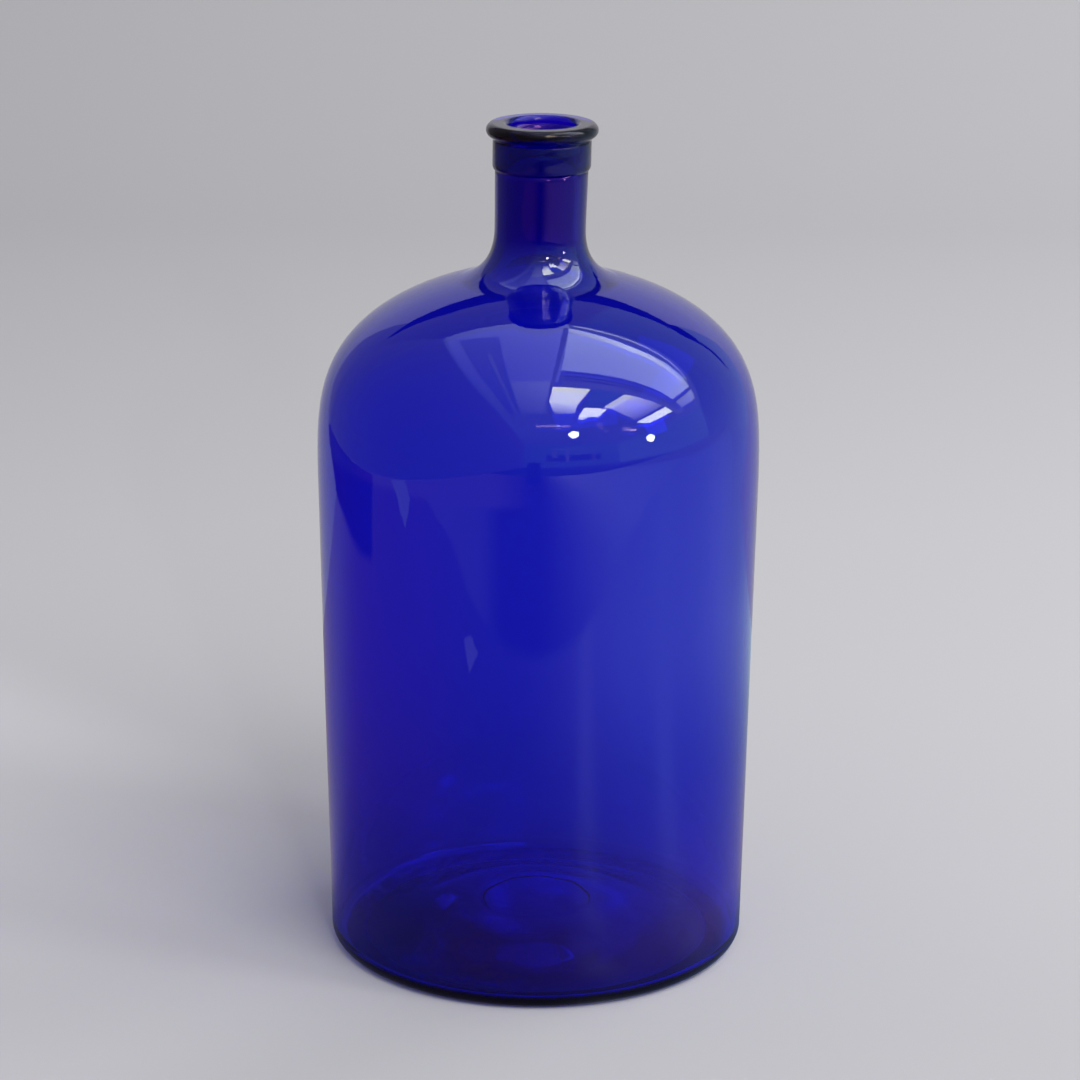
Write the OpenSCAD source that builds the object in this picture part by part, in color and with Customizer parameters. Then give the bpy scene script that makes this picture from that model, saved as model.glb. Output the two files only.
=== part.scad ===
// Antique mouth-blown bottle: a tall round vessel with a domed shoulder and a
// short neck, finished with a tooled collar band and a rounded lip, and with a
// pushed-up base that still carries the glass left by the pontil iron.
// Millimetres, +Z up, origin at the centre of the foot on the surface it stands on.

/* [Body] */
// Diameter just above the heel
base_d = 199.8; // [170:0.2:208]
// Diameter at the widest place, where the shoulder starts
shoulder_d = 208.4; // [200:0.2:240]
// Height of the widest place above the foot
body_h = 234.7; // [120:0.1:320]
// Thickness of the blown wall of the body
body_wall = 3.2; // [2:0.1:6]
// Rounding of the outer edge of the heel
heel_r = 6.5; // [2:0.1:10]
// Rounding inside the vessel between floor and wall
floor_corner_r = 5.5; // [4:0.5:16]

/* [Shoulder] */
// Height from the widest place to where the dome would close over the axis
dome_h = 97.5; // [60:0.5:130]
// How long the dome stays upright before it turns in
dome_upright = 3.39; // [2.2:0.01:4]
// How round the dome is across its crown
dome_crown = 1.67; // [1.4:0.01:2.2]
// Diameter at which the dome gives way to the sweep into the neck
dome_end_d = 79.2; // [64:0.2:110]
// Thickness of the glass at the crown of the shoulder
shoulder_wall = 4.2; // [3:0.1:7]

/* [Neck] */
// Height of the sweep from the dome to the waist of the neck
sweep_h = 24.4; // [16:0.1:40]
// Pull of the dome's slope on the sweep
sweep_low = 0.29; // [0.1:0.01:0.6]
// Pull of the upright neck on the sweep
sweep_high = 0.56; // [0.2:0.01:0.8]
// Outer diameter at the waist of the neck
waist_d = 42.6; // [40:0.1:50]
// Outer diameter of the neck under the collar
neck_d = 43.4; // [41:0.1:48]
// Height of the bare neck between the sweep and the collar
neck_h = 27.8; // [15:0.1:70]
// Height, at the foot of the neck, over which the bore widens into the shoulder
throat_h = 26; // [16:0.5:40]
// Diameter of the bore through the neck
bore_d = 32; // [24:0.1:35]

/* [Finish] */
// Outer diameter of the tooled collar band
collar_d = 45.9; // [44.5:0.1:50]
// Height of the collar band
collar_h = 13.8; // [8:0.1:24]
// Height of the rounded lower edge of the collar
collar_edge_h = 2.8; // [1:0.1:5]
// Outer diameter of the lip
lip_d = 52.2; // [50:0.1:60]
// Height of the lip from the collar to its flat top
lip_h = 8; // [7.4:0.1:12]
// Radius of the bead that forms the outer edge of the lip
bead_r = 3.3; // [2:0.1:3.6]
// Thickness of the lip glass laid over the end of the neck
lip_cover = 3.5; // [3:0.1:5]
// Rounding of the edge of the mouth
mouth_edge_r = 2.4; // [0.4:0.1:2.8]

/* [Base] */
// Width of the flat ring that the bottle stands on
foot_w = 9.5; // [6:0.5:24]
// Height of the push-up under the centre of the base
kick_h = 14; // [8:0.5:30]
// Thickness of the glass over the push-up
floor_wall = 3.6; // [3:0.1:10]
// Diameter of the glass left by the pontil iron
pontil_d = 56; // [30:0.5:70]
// Depth of the pontil glass below its seat at its rim
pontil_h = 1.2; // [0.8:0.1:4]
// Depth of the hollow in the middle of the pontil glass
pontil_dish = 0.6; // [0.2:0.1:0.7]

/* [Hidden] */

base_r = base_d / 2;
shoulder_r = shoulder_d / 2;
dome_end_r = dome_end_d / 2;
waist_r = waist_d / 2;
neck_r = neck_d / 2;
bore_r = bore_d / 2;
collar_r = collar_d / 2;
lip_r = lip_d / 2;
pontil_r = pontil_d / 2;

// The flat seat at the top of the push-up reaches a little past the pontil glass
seat_margin = 2;
kick_seat_r = pontil_r + seat_margin;
kick_r = base_r - heel_r - foot_w;

// Heights, each stacked on the one below
dome_turn = dome_turn_at(dome_end_r, shoulder_r);
sweep_z = body_h + dome_h * dome_turn;
waist_z = sweep_z + sweep_h;
collar_z = waist_z + neck_h;
lip_z = collar_z + collar_h;
top_z = lip_z + lip_h;
neck_end_z = top_z - lip_cover;

// Inside shape
inner_base_r = base_r - body_wall;
inner_shoulder_r = shoulder_r - body_wall;
inner_dome_h = dome_h - shoulder_wall;
inner_dome_end_r = dome_end_r - shoulder_wall;
inner_sweep_z = body_h + inner_dome_h * dome_turn_at(inner_dome_end_r, inner_shoulder_r);

// Number of straight steps that stand for each curve
round_steps = 8;
dome_steps = 26;
sweep_steps = 12;
kick_steps = 12;
$fn = 96;

cobalt = [0.07, 0.08, 0.55, 0.75];
dark_cobalt = [0.05, 0.05, 0.30, 0.85];
lip_glass = [0.20, 0.22, 0.32, 0.85];
pontil_glass = [0.10, 0.12, 0.60, 0.80];

// Share of the dome's height at which its radius has come in from r_max to r
function dome_turn_at(r, r_max) =
    pow(1 - pow(r / r_max, dome_crown), 1 / dome_upright);

// Radius of the dome at the share t of its height
function dome_radius(t, r_max) =
    r_max * pow(1 - pow(t, dome_upright), 1 / dome_crown);

// Points of a dome of radius r_max and height h, up to where its radius is r_end
function dome_points(r_max, h, r_end) =
    let (t_end = dome_turn_at(r_end, r_max))
    [for (i = [0 : dome_steps])
        let (t = t_end * sin(90 * i / dome_steps))
        [dome_radius(t, r_max), body_h + h * t]];

// Point at the share u of the cubic curve with the given end and handle points
function curve_point(p0, p1, p2, p3, u) =
    pow(1 - u, 3) * p0 + 3 * pow(1 - u, 2) * u * p1
    + 3 * (1 - u) * u * u * p2 + pow(u, 3) * p3;

// Sweep that leaves p0 in the direction of slope and arrives upright at p3
function sweep_points(p0, slope, p3) =
    let (
        reach = norm(p3 - p0),
        p1 = p0 + slope / norm(slope) * reach * sweep_low,
        p2 = p3 - [0, reach * sweep_high]
    )
    [for (i = [1 : sweep_steps]) curve_point(p0, p1, p2, p3, i / sweep_steps)];

// Arc about c from the angle a0 to a1, both ends included
function arc_points(c, r, a0, a1) =
    [for (i = [0 : round_steps])
        let (a = a0 + (a1 - a0) * i / round_steps)
        c + r * [cos(a), sin(a)]];

// Height of the push-up at the radius r: a flat seat, then a smooth fall to the foot
function kick_height(r) =
    r <= kick_seat_r ? kick_h
    : kick_h * (1 + cos(180 * (r - kick_seat_r) / (kick_r - kick_seat_r))) / 2;

function kick_points(lift) =
    [for (i = [0 : kick_steps])
        let (r = kick_seat_r + (kick_r - kick_seat_r) * i / kick_steps)
        [r, kick_height(r) + lift]];

// Last slope of a list of points, for the curve that carries on from it
function end_slope(points) = points[len(points) - 1] - points[len(points) - 2];

function reversed(points) = [for (i = [len(points) - 1 : -1 : 0]) points[i]];

// Outside of the blown vessel, from the foot up to the end of the neck
function vessel_outside() =
    let (dome = dome_points(shoulder_r, dome_h, dome_end_r))
    concat(
        arc_points([base_r - heel_r, heel_r], heel_r, -90, 0),
        dome,
        sweep_points(dome[dome_steps], end_slope(dome), [waist_r, waist_z]),
        [[neck_r, collar_z], [neck_r, neck_end_z]]
    );

// Inside of the blown vessel, from the middle of the floor up to the end of the neck
function vessel_inside() =
    let (dome = dome_points(inner_shoulder_r, inner_dome_h, inner_dome_end_r))
    concat(
        [[0, kick_h + floor_wall]],
        kick_points(floor_wall),
        arc_points([inner_base_r - floor_corner_r, floor_wall + floor_corner_r],
                   floor_corner_r, -90, 0),
        dome,
        sweep_points(dome[dome_steps], end_slope(dome), [bore_r, inner_sweep_z + throat_h]),
        [[bore_r, neck_end_z]]
    );

// The one gather of glass that was blown: base, wall, shoulder and neck
module vessel() {
    color(cobalt)
        rotate_extrude()
            polygon(concat(
                [[0, kick_h]],
                kick_points(0),
                vessel_outside(),
                reversed(vessel_inside())
            ));
}

// Band of glass tooled round the top of the neck, with a rounded lower edge
module collar_band() {
    edge = [for (i = [0 : round_steps])
        let (a = 90 * i / round_steps)
        [neck_r + (collar_r - neck_r) * sin(a), collar_z + collar_edge_h * (1 - cos(a))]];
    color(dark_cobalt)
        rotate_extrude()
            polygon(concat(edge, [[collar_r, lip_z], [neck_r, lip_z]]));
}

// Ring of glass laid round and over the end of the neck and tooled to a bead
module lip_ring() {
    bead_c = [lip_r - bead_r, top_z - bead_r];
    bead_start = -70;
    color(lip_glass)
        rotate_extrude()
            polygon(concat(
                [[neck_r, lip_z], [collar_r, lip_z]],
                arc_points(bead_c, bead_r, bead_start, 90),
                arc_points([bore_r + mouth_edge_r, top_z - mouth_edge_r], mouth_edge_r, 90, 180),
                [[bore_r, neck_end_z], [neck_r, neck_end_z]]
            ));
}

// Glass broken from the pontil iron: a low ring with a hollow middle, under the push-up
module pontil_scar() {
    ring_at = 0.62;
    color(pontil_glass)
        rotate_extrude()
            polygon(concat(
                [[0, kick_h], [0, kick_h - pontil_h + pontil_dish]],
                [for (i = [1 : kick_steps])
                    let (s = i / kick_steps)
                    [pontil_r * s, kick_h - pontil_depth(s, ring_at)]],
                [[pontil_r, kick_h]]
            ));
}

// Depth of the pontil glass at the share s of its radius, deepest at the share ring_at
function pontil_depth(s, ring_at) =
    s < ring_at
    ? pontil_h - pontil_dish * (1 + cos(180 * s / ring_at)) / 2
    : pontil_h * (0.1 + 0.9 * cos(90 * (s - ring_at) / (1 - ring_at)));

vessel();
collar_band();
lip_ring();
pontil_scar();
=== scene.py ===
"""Looks of an antique mouth-blown cobalt bottle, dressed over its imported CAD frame.

Everything is in metres in the CAD frame: +Z up, origin at the centre of the foot. Sizes are written
in millimetres where they belong to the bottle, and turned to metres where they are used.
"""

import logging
import math
from collections.abc import Callable, Sequence
from dataclasses import dataclass, field, fields
from enum import Enum
from functools import partial

import bmesh
import bpy
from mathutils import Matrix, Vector


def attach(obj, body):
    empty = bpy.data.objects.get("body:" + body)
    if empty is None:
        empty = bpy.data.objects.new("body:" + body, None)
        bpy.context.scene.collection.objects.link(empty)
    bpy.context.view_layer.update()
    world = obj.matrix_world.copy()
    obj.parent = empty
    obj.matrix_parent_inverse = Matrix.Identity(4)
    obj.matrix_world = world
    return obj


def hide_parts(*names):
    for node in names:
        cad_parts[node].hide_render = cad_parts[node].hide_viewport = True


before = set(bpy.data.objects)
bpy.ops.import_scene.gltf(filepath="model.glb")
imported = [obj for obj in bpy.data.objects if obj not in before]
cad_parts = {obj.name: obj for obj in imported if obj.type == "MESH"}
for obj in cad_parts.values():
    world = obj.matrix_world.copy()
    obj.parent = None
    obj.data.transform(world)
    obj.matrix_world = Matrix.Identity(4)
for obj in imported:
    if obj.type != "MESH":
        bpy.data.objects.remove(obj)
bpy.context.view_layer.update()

MM = 0.001
IMAGE_SIDE_PX = 1080
BODY = "root"
LOG = logging.getLogger("bottle")

Point = tuple[float, float]
Place = tuple[float, float, float]
Colour = tuple[float, float, float, float]
Stop = tuple[float, str]
Socket = bpy.types.NodeSocket
Node = bpy.types.Node
Tree = bpy.types.NodeTree
AddNode = Callable[..., Node]

# Blender's names for the nodes that are used most
MATH = "ShaderNodeMath"
VECTOR = "ShaderNodeVectorMath"
RANGE = "ShaderNodeMapRange"
NAMED = "GeometryNodeInputNamedAttribute"
SAMPLE = "GeometryNodeSampleIndex"


class Face(Enum):
    """Which side of the glass a stretch of an outline lies on."""

    OUTSIDE = 0.0
    INSIDE = 1.0


class Slot(Enum):
    """The record's material slots."""

    COBALT = "cobalt_glass"
    DARK_COBALT = "dark_cobalt_glass"


# ---------------------------------------------------------------- small helpers


def linear(hex_colour: str) -> Colour:
    """Turn an sRGB hex colour into a linear one.

    Args:
        hex_colour: Six hex digits with a leading hash, such as "#8090a0".

    Returns:
        Linear red, green and blue, and an alpha of 1.
    """
    parts = [int(hex_colour[i : i + 2], 16) / 255 for i in (1, 3, 5)]
    red, green, blue = (c / 12.92 if c <= 0.04045 else ((c + 0.055) / 1.055) ** 2.4 for c in parts)
    return red, green, blue, 1.0


def grey(level: float) -> Colour:
    """A linear grey of that level."""
    return level, level, level, 1.0


def ease(value: float, start: float, end: float) -> float:
    """Share of the way from start to end, smooth at both."""
    share = min(1.0, max(0.0, (value - start) / (end - start)))
    return share * share * (3 - 2 * share)


def bell(off: float, width: float) -> float:
    """Height of a bell curve that far off its middle."""
    return math.exp(-((off / width) ** 2))


def grid(across: int, along: int) -> list[tuple[int, int]]:
    """Steps of a grid, row by row, both ends included."""
    return [(i, j) for i in range(across + 1) for j in range(along + 1)]


def add_node(
    tree: Tree,
    kind: str,
    inputs: dict[str | int, object] | Sequence[object] = (),
    stops: Sequence[tuple[float, Colour]] = (),
    **settings: object,
) -> Node:
    """Add a node, set it up and link what feeds it.

    Args:
        tree: The node tree that the node goes into.
        kind: The node's type name in Blender.
        inputs: Value of each input, or the node or the output socket that feeds it, by the
            input's name or number, or in order from the first input. A node feeds it from the
            first of its outputs that is in use.
        stops: Place from 0 to 1 and linear colour of each stop, for a colour ramp.
        **settings: Attributes of the node and their values.

    Returns:
        The new node.
    """
    node = tree.nodes.new(kind)
    for name, value in settings.items():
        setattr(node, name, value)
    given = inputs if isinstance(inputs, dict) else dict(enumerate(inputs))
    for key, value in given.items():
        if isinstance(value, Node):
            value = next(output for output in value.outputs if output.enabled)
        if isinstance(value, Socket):
            tree.links.new(value, node.inputs[key])
        else:
            node.inputs[key].default_value = value
    for i, (place, colour) in enumerate(stops):
        elements = node.color_ramp.elements
        element = elements[i] if i < len(elements) else elements.new(1.0)
        element.position, element.color = place, colour
    return node


def bare_tree(block: bpy.types.Material | bpy.types.World) -> Tree:
    """Give a material or a world an empty node tree.

    Args:
        block: The material or the world.

    Returns:
        Its node tree, with no nodes in it.
    """
    block.use_nodes = True
    block.node_tree.nodes.clear()
    return block.node_tree


def placed(name: str, data: bpy.types.ID) -> bpy.types.Object:
    """Make an object and put it in the scene at the origin.

    Args:
        name: Name of the object.
        data: Its mesh, light or camera.

    Returns:
        The object.
    """
    thing = bpy.data.objects.new(name, data)
    bpy.context.scene.collection.objects.link(thing)
    return thing


# ---------------------------------------------------------------- outlines


def arc(centre: Point, radius: float, start: float, end: float, steps: int) -> list[Point]:
    """Points of an arc.

    Args:
        centre: Centre of the arc.
        radius: Radius of the arc.
        start: First angle in degrees, from the outward direction.
        end: Last angle in degrees.
        steps: Number of straight steps.

    Returns:
        The points, both ends included.
    """
    angles = (math.radians(start + (end - start) * i / steps) for i in range(steps + 1))
    return [(centre[0] + radius * math.cos(a), centre[1] + radius * math.sin(a)) for a in angles]


def straight(first: Point, last: Point, steps: int) -> list[Point]:
    """Evenly spaced points of a straight stretch, without its last point."""
    (x0, y0), (x1, y1) = first, last
    return [(x0 + (x1 - x0) * i / steps, y0 + (y1 - y0) * i / steps) for i in range(steps)]


def sweep(
    start: Point, before: Point, end: Point, low: float, high: float, steps: int
) -> list[Point]:
    """Cubic sweep that carries on from a dome and ends upright.

    Args:
        start: Last point of the dome.
        before: The dome's point before that, which gives the slope.
        end: Where the sweep ends.
        low: Pull of the dome's slope, as a share of the reach.
        high: Pull of the upright end, as a share of the reach.
        steps: Number of straight steps.

    Returns:
        The points after start, end included.
    """
    first, last = Vector(start), Vector(end)
    slope = (first - Vector(before)).normalized()
    reach = (last - first).length
    handle_low = first + slope * reach * low
    handle_high = last - Vector((0.0, reach * high))
    points = []
    for i in range(1, steps + 1):
        u = i / steps
        point = (
            (1 - u) ** 3 * first
            + 3 * (1 - u) ** 2 * u * handle_low
            + 3 * (1 - u) * u**2 * handle_high
            + u**3 * last
        )
        points.append((point.x, point.y))
    return points


@dataclass
class Outline:
    """The half section that a piece is turned from, in millimetres, with each point's marks."""

    points: list[Point] = field(default_factory=list)
    seams: list[float] = field(default_factory=list)
    sides: list[float] = field(default_factory=list)

    def add(self, points: Sequence[Point], side: Face, fused: bool = False) -> None:
        """Append a stretch.

        Args:
            points: Radius and height of each point.
            side: Side of the glass that the stretch lies on.
            fused: True where the stretch is melted onto another piece of the bottle.
        """
        self.points += points
        self.seams += [float(fused)] * len(points)
        self.sides += [side.value] * len(points)


@dataclass
class Dome:
    """Shoulder of the bottle: how a wall turns in from the body towards the neck."""

    widest: float
    spring_z: float
    rise: float
    end_radius: float
    upright: float = 3.39
    crown: float = 1.67
    steps: int = 52

    @property
    def end_share(self) -> float:
        """Share of the rise at which the dome gives way to the sweep."""
        return (1 - (self.end_radius / self.widest) ** self.crown) ** (1 / self.upright)

    @property
    def end_z(self) -> float:
        """Height at which the dome gives way to the sweep."""
        return self.spring_z + self.rise * self.end_share

    def points(self) -> list[Point]:
        """Points of the dome from its foot to its end."""
        turns = (math.pi / 2 * i / self.steps for i in range(self.steps + 1))
        return [self.point(self.end_share * math.sin(turn)) for turn in turns]

    def point(self, share: float) -> Point:
        """Point of the dome at a share of its rise."""
        radius = self.widest * (1 - share**self.upright) ** (1 / self.crown)
        return radius, self.spring_z + self.rise * share


@dataclass
class BottleSizes:
    """Driving sizes of the bottle in millimetres, as the CAD source has them."""

    base_r: float = 99.9
    shoulder_r: float = 104.2
    body_h: float = 234.7
    body_wall: float = 3.2
    heel_r: float = 6.5
    floor_corner_r: float = 5.5
    dome_h: float = 97.5
    dome_end_r: float = 39.6
    shoulder_wall: float = 4.2
    sweep_h: float = 24.4
    sweep_low: float = 0.29
    sweep_high: float = 0.56
    waist_r: float = 21.3
    neck_r: float = 21.7
    neck_h: float = 27.8
    throat_h: float = 26.0
    bore_r: float = 16.0
    collar_r: float = 22.95
    collar_h: float = 13.8
    collar_edge_h: float = 2.8
    lip_r: float = 26.1
    lip_h: float = 8.0
    bead_r: float = 3.3
    lip_cover: float = 3.5
    mouth_edge_r: float = 2.4
    foot_w: float = 9.5
    kick_h: float = 14.0
    floor_wall: float = 3.6
    kick_seat_r: float = 30.0
    pontil_r: float = 28.0
    pontil_h: float = 1.2
    pontil_dish: float = 0.6

    @property
    def outer_dome(self) -> Dome:
        """The outside of the shoulder."""
        return Dome(self.shoulder_r, self.body_h, self.dome_h, self.dome_end_r)

    @property
    def inner_dome(self) -> Dome:
        """The inside of the shoulder."""
        widest, end = self.shoulder_r - self.body_wall, self.dome_end_r - self.shoulder_wall
        return Dome(widest, self.body_h, self.dome_h - self.shoulder_wall, end)

    @property
    def waist_z(self) -> float:
        """Height of the waist of the neck."""
        return self.outer_dome.end_z + self.sweep_h

    @property
    def collar_z(self) -> float:
        """Height of the lower edge of the collar."""
        return self.waist_z + self.neck_h

    @property
    def lip_z(self) -> float:
        """Height at which the lip sits on the collar."""
        return self.collar_z + self.collar_h

    @property
    def top_z(self) -> float:
        """Height of the flat top of the lip."""
        return self.lip_z + self.lip_h

    @property
    def neck_end_z(self) -> float:
        """Height at which the blown neck ends inside the lip."""
        return self.top_z - self.lip_cover

    @property
    def kick_r(self) -> float:
        """Radius at which the push-up meets the foot."""
        return self.base_r - self.heel_r - self.foot_w

    def kick_height(self, radius: float) -> float:
        """Height of the push-up's underside at a radius.

        Args:
            radius: Radius in millimetres.

        Returns:
            Height in millimetres.
        """
        if radius <= self.kick_seat_r:
            return self.kick_h
        turn = (radius - self.kick_seat_r) / (self.kick_r - self.kick_seat_r)
        return self.kick_h * (1 + math.cos(math.pi * turn)) / 2


# ---------------------------------------------------------------- the glassblower's lathe


@dataclass
class Lathe:
    """Turns an outline into a closed piece of hand-blown glass with Geometry Nodes.

    The wave is the slow unevenness of a blown wall, the ream its short ripple, and the crinkle the
    folds round the inside of the heel. The neck leans a little towards its top.
    """

    wave_mm: float = 0.40
    wave_size_mm: float = 90.0
    ream_mm: float = 0.04
    ream_size_mm: float = 22.0
    crinkle_mm: float = 1.6
    crinkle_size_mm: float = 6.0
    crinkle_height_mm: float = 10.0
    lean_mm: float = 1.1
    lean_from_mm: float = 322.0
    lean_to_mm: float = 400.0
    seed: float = 4.0
    around: int = 256
    name: str = "glass_lathe"

    def sizes(self) -> dict[str, float]:
        """Each size of the lathe in metres, under the name of its input."""
        names = [item.name for item in fields(self) if item.name.endswith("_mm")]
        return {name[:-3].replace("_", " ").title(): getattr(self, name) * MM for name in names}

    def tree(self) -> bpy.types.GeometryNodeTree:
        """Build the node group, or return the one already built.

        Returns:
            The lathe's node group, with a named input for each of its sizes.
        """
        if self.name in bpy.data.node_groups:
            return bpy.data.node_groups[self.name]
        tree = bpy.data.node_groups.new(self.name, "GeometryNodeTree")
        kinds = {"Geometry": "Geometry", "Around": "Int"}
        kinds |= dict.fromkeys(self.sizes(), "Float")
        kinds |= {"Seed": "Float", "Glass": "Material"}
        for label, kind in kinds.items():
            tree.interface.new_socket(label, in_out="INPUT", socket_type="NodeSocket" + kind)
        tree.interface.new_socket("Geometry", in_out="OUTPUT", socket_type="NodeSocketGeometry")
        add = partial(add_node, tree)
        given = add("NodeGroupInput").outputs
        turned, side = self._turned(add, given)
        shaped = self._shaped(add, given, turned, side)
        smooth = add("GeometryNodeSetShadeSmooth", [shaped])
        real = add("GeometryNodeRealizeInstances", [smooth])
        dressing = {"Geometry": real, "Material": given["Glass"]}
        glass = add("GeometryNodeSetMaterial", dressing)
        add("NodeGroupOutput", [glass])
        return tree

    def _turned(self, add: AddNode, given: bpy.types.bpy_prop_collection) -> tuple[Node, Node]:
        """Turn the outline about the axis: a grid whose rows are the outline's points.

        Args:
            add: Adds a node to the group.
            given: The group's input sockets.

        Returns:
            The turned mesh and the mark that tells its inside from its outside.
        """
        outline = given["Geometry"]
        size = add("GeometryNodeAttributeDomainSize", [outline])
        around = add(MATH, [given["Around"], 1.0], operation="ADD")
        net = {"Vertices X": size.outputs["Point Count"], "Vertices Y": around}
        mesh = add("GeometryNodeMeshGrid", net).outputs["Mesh"]
        index = add("GeometryNodeInputIndex")
        rows = add(MATH, [index, around], operation="DIVIDE")
        row = add(MATH, [rows], operation="FLOOR")
        start = add(MATH, [row, around], operation="MULTIPLY")
        column = add(MATH, [index, start], operation="SUBTRACT")
        share = add(MATH, [column, given["Around"]], operation="DIVIDE")
        angle = add(MATH, [share, 2 * math.pi], operation="MULTIPLY")
        position = add("GeometryNodeInputPosition")
        read = {"Geometry": outline, "Index": row}
        point = add(SAMPLE, read | {"Value": position}, data_type="FLOAT_VECTOR", domain="POINT")
        radius, _, height = add("ShaderNodeSeparateXYZ", [point]).outputs
        flat = []
        for turn in ("COSINE", "SINE"):
            part = add(MATH, [angle], operation=turn)
            flat.append(add(MATH, [radius, part], operation="MULTIPLY"))
        place = add("ShaderNodeCombineXYZ", [*flat, height])
        moved = {"Geometry": mesh, "Position": place}
        mesh = add("GeometryNodeSetPosition", moved)
        kind = {"data_type": "FLOAT", "domain": "POINT"}
        for mark in ("seam", "side"):
            named = add(NAMED, {"Name": mark}, data_type="FLOAT")
            value = add(SAMPLE, read | {"Value": named}, **kind)
            marked = {"Geometry": mesh, "Name": mark, "Value": value}
            mesh = add("GeometryNodeStoreNamedAttribute", marked, **kind)
        closed = {"Geometry": mesh, "Distance": 1e-7}
        mesh = add("GeometryNodeMergeByDistance", closed)
        return mesh, add(NAMED, {"Name": "side"}, data_type="FLOAT")

    def _shaped(
        self, add: AddNode, given: bpy.types.bpy_prop_collection, mesh: Node, side: Node
    ) -> Node:
        """Give the turned piece the unevenness of blown glass, and the lean of its neck.

        Args:
            add: Adds a node to the group.
            given: The group's input sockets.
            mesh: The turned mesh.
            side: The mark that tells the inside from the outside.

        Returns:
            The shaped mesh.
        """
        position = add("GeometryNodeInputPosition")
        x, y, z = add("ShaderNodeSeparateXYZ", [position]).outputs
        lumps = []
        kinds = (("Wave", 0.0, 1.0), ("Ream", side, 1.0), ("Crinkle", side, 2.0))
        for label, shift, detail in kinds:
            seed = add(MATH, [given["Seed"], shift], operation="ADD")
            size = given[label + " Size"]
            scale = add(MATH, [1.0, size], operation="DIVIDE")
            grain = {"W": seed, "Scale": scale, "Detail": detail}
            noise = add("ShaderNodeTexNoise", grain, noise_dimensions="4D")
            even = add(MATH, [noise, 0.5], operation="SUBTRACT")
            lump = add(MATH, [even, given[label]], operation="MULTIPLY")
            lumps.append(lump)
        wave, ream, crinkle = lumps
        fading = [z, given["Crinkle Height"], 0.0, 0.0, 1.0]
        low = add(RANGE, fading, interpolation_type="SMOOTHSTEP")
        heel = add(MATH, [low, side], operation="MULTIPLY")
        crinkle = add(MATH, [crinkle, heel], operation="MULTIPLY")
        uneven = add(MATH, [wave, ream], operation="ADD")
        uneven = add(MATH, [uneven, crinkle], operation="ADD")
        flat = add("ShaderNodeCombineXYZ", [x, y])
        radius = add(VECTOR, [flat], operation="LENGTH")
        away = add(VECTOR, [flat], operation="NORMALIZE")
        # Within this radius the unevenness fades out, so that the middle stays closed
        still = 10 * MM
        share = add(MATH, [radius, still], operation="DIVIDE")
        share = add(MATH, [share, 1.0], operation="MINIMUM")
        out = add(MATH, [uneven, share], operation="MULTIPLY")
        push = add(VECTOR, {0: away, "Scale": out}, operation="SCALE")
        bent = [z, given["Lean From"], given["Lean To"], 0.0, given["Lean"]]
        lean = add(RANGE, bent, interpolation_type="SMOOTHSTEP")
        aside = add("ShaderNodeCombineXYZ", {0: lean, 2: crinkle})
        offset = add(VECTOR, [push, aside], operation="ADD")
        moved = {"Geometry": mesh, "Offset": offset}
        return add("GeometryNodeSetPosition", moved)

    def turn(self, name: str, outline: Outline, glass: bpy.types.Material) -> bpy.types.Object:
        """Make a finished piece from an outline.

        Args:
            name: Name of the piece.
            outline: Its half section in millimetres.
            glass: Its material.

        Returns:
            A plain mesh object at the origin, closed, with its faces pointing outwards.
        """
        wire = bpy.data.meshes.new(name + "_outline")
        points = [(r * MM, 0.0, z * MM) for r, z in outline.points]
        wire.from_pydata(points, [(i, i + 1) for i in range(len(points) - 1)], [])
        for mark, values in (("seam", outline.seams), ("side", outline.sides)):
            wire.attributes.new(mark, "FLOAT", "POINT").data.foreach_set("value", values)
        source = placed(name + "_outline", wire)
        modifier = source.modifiers.new("lathe", "NODES")
        modifier.node_group = self.tree()
        values = {"Around": self.around, **self.sizes(), "Seed": self.seed, "Glass": glass}
        for item in modifier.node_group.interface.items_tree:
            if item.in_out == "INPUT" and item.name in values:
                modifier[item.identifier] = values[item.name]
        graph = bpy.context.evaluated_depsgraph_get()
        mesh = bpy.data.meshes.new_from_object(source.evaluated_get(graph))
        mesh.name = name
        bpy.data.objects.remove(source)
        face_outwards(mesh)
        return placed(name, mesh)


def face_outwards(mesh: bpy.types.Mesh) -> None:
    """Turn every face of a closed mesh outwards.

    Args:
        mesh: The mesh, which is changed in place.
    """
    work = bmesh.new()
    work.from_mesh(mesh)
    if work.calc_volume(signed=True) < 0:
        bmesh.ops.reverse_faces(work, faces=work.faces)
    work.to_mesh(mesh)
    work.free()


# ---------------------------------------------------------------- glass


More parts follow.
